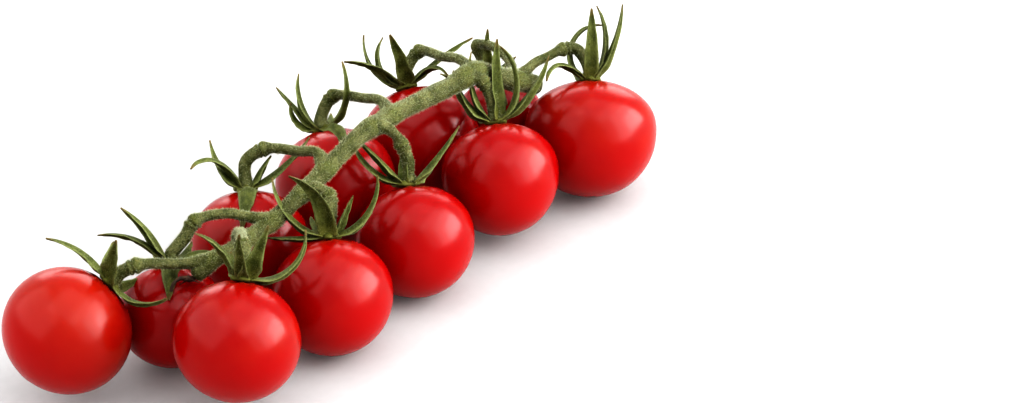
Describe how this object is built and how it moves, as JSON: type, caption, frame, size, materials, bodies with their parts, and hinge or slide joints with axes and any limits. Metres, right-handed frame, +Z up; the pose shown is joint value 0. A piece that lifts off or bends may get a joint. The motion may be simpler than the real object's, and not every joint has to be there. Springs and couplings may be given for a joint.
{
  "type": "truss of tomatoes",
  "caption": "Truss of ripe red vine tomatoes on their green stem, with curled sepals, as picked and lying on a surface.",
  "frame": {"origin": "on the surface that the truss lies on, under the middle of its bounding box", "axes": "+X along the truss from its withered tip to its cut end, +Z up, +Y to the side that the stalk ends lean towards"},
  "size_m": [0.1918, 0.0846, 0.0485],
  "materials": {
    "fruit_skin": "smooth glossy red skin",
    "stem": "grey-green, finely hairy",
    "sepal": "dark olive green, matt",
    "dried_stalk": "dry brown"
  },
  "bodies": {
    "root": {"rachis": "stem", "pedicel_01": "stem", "pedicel_02": "stem", "pedicel_03": "stem", "pedicel_04": "stem", "pedicel_05": "stem", "pedicel_06": "stem", "pedicel_07": "stem", "pedicel_08": "stem", "pedicel_09": "stem", "pedicel_10": "stem", "pedicel_11": "stem", "calyx_01": "sepal", "calyx_02": "sepal", "calyx_03": "sepal", "calyx_04": "sepal", "calyx_05": "sepal", "calyx_06": "sepal", "calyx_07": "sepal", "calyx_08": "sepal", "calyx_09": "sepal", "calyx_10": "sepal", "calyx_11": "sepal", "tomato_01": "fruit_skin", "tomato_02": "fruit_skin", "tomato_03": "fruit_skin", "tomato_04": "fruit_skin", "tomato_05": "fruit_skin", "tomato_06": "fruit_skin", "tomato_07": "fruit_skin", "tomato_08": "fruit_skin", "tomato_09": "fruit_skin", "tomato_10": "fruit_skin", "tomato_11": "fruit_skin", "withered_bud": "dried_stalk"}
  },
  "joints": []
}
